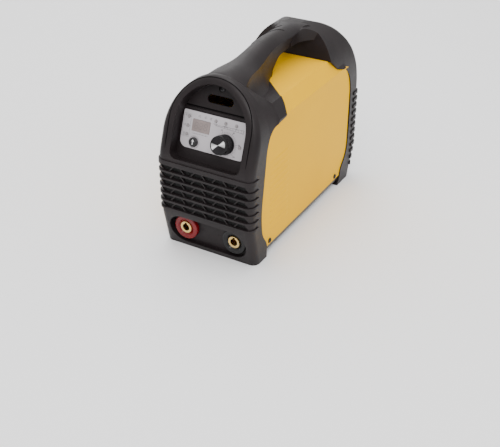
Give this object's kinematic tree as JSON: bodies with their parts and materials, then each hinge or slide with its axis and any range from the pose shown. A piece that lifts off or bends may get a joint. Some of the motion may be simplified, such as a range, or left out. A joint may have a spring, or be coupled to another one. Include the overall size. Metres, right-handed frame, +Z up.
{
  "type": "stick welding inverter",
  "caption": "Portable stick welding inverter: steel cover between moulded end covers, arched carry handle, leaning control panel, twist-lock output sockets.",
  "frame": {"origin": "middle of the footprint, at the floor", "axes": "+Z up, +X to the right seen from the front, control panel faces -Y, length along Y"},
  "size_m": [0.13, 0.29, 0.2285],
  "materials": {
    "aluminium": "extruded",
    "black_paint": "satin powder coat",
    "black_plastic": "fine grained moulded ABS",
    "board_green": "solder mask",
    "brass": "turned brass",
    "button_black": "smooth",
    "capacitor_sleeve": "shrink sleeve",
    "component_black": "moulded epoxy",
    "copper": "bare copper",
    "display_grey": "dark filter",
    "ferrite": "ferrite",
    "grip_plastic": "fine grained moulded ABS",
    "knob_black": "satin",
    "knob_metal": "radial brushed disc",
    "label_silver": "satin printed overlay",
    "light_lens": "milky lens",
    "nylon_white": "nylon",
    "smoked_window": "smoked clear window",
    "socket_black": "gloss",
    "socket_red": "gloss",
    "winding_tape": "polyester tape",
    "yellow_paint": "gloss powder coat",
    "zinc_steel": "zinc plated"
  },
  "bodies": {
    "case": {"front_cover": "black_plastic", "rear_cover": "black_plastic", "carry_handle": "grip_plastic", "side_cover": "yellow_paint", "base_tray": "black_paint", "panel_label": "label_silver", "display_window": "smoked_window", "display_module": "display_grey", "indicator_lights": "light_lens", "mode_switch": "component_black", "dial_encoder": "component_black", "control_board": "board_green", "panel_screw": "zinc_steel", "positive_bushing": "socket_red", "negative_bushing": "socket_black", "positive_contact": "brass", "negative_contact": "brass", "socket_nuts": "nylon_white", "positive_busbar": "copper", "negative_busbar": "copper", "fan_frame": "component_black", "fan_screws": "zinc_steel", "power_switch": "component_black", "cable_gland": "component_black", "gland_nut": "component_black", "power_board": "board_green", "board_standoffs": "nylon_white", "heat_sink_left": "aluminium", "heat_sink_right": "aluminium", "power_transistors": "component_black", "transformer_core": "ferrite", "transformer_windings": "winding_tape", "transformer_feet": "nylon_white", "bulk_capacitors": "capacitor_sleeve", "rectifier": "component_black", "output_choke": "winding_tape", "cover_screws": "zinc_steel", "earth_screw": "zinc_steel"},
    "dial": {"control_knob": "knob_black", "knob_cap": "knob_metal", "dial_shaft": "zinc_steel"},
    "mode_key": {"mode_button": "button_black"},
    "rocker": {"power_rocker": "button_black"},
    "rotor": {"fan_rotor": "component_black"}
  },
  "joints": [
    {"name": "dial_turn", "type": "hinge", "parent": "case", "child": "dial", "pos_m": [0.016, -0.11914, 0.1435], "axis": [0, -0.9397, 0.342], "range_deg": [-150, 150]},
    {"name": "mode_press", "type": "slide", "parent": "case", "child": "mode_key", "axis": [0, 0.9397, -0.342], "range_m": [0, 0.0015], "stiffness_N_per_m": 900, "springref_m": -0.0005},
    {"name": "rocker_tip", "type": "hinge", "parent": "case", "child": "rocker", "pos_m": [-0.026, 0.1215, 0.146], "axis": [1, 0, 0], "range_deg": [0, 16]},
    {"name": "fan_spin", "type": "hinge", "parent": "case", "child": "rotor", "pos_m": [0, 0.11, 0.07], "axis": [0, 1, 0], "continuous": true}
  ]
}
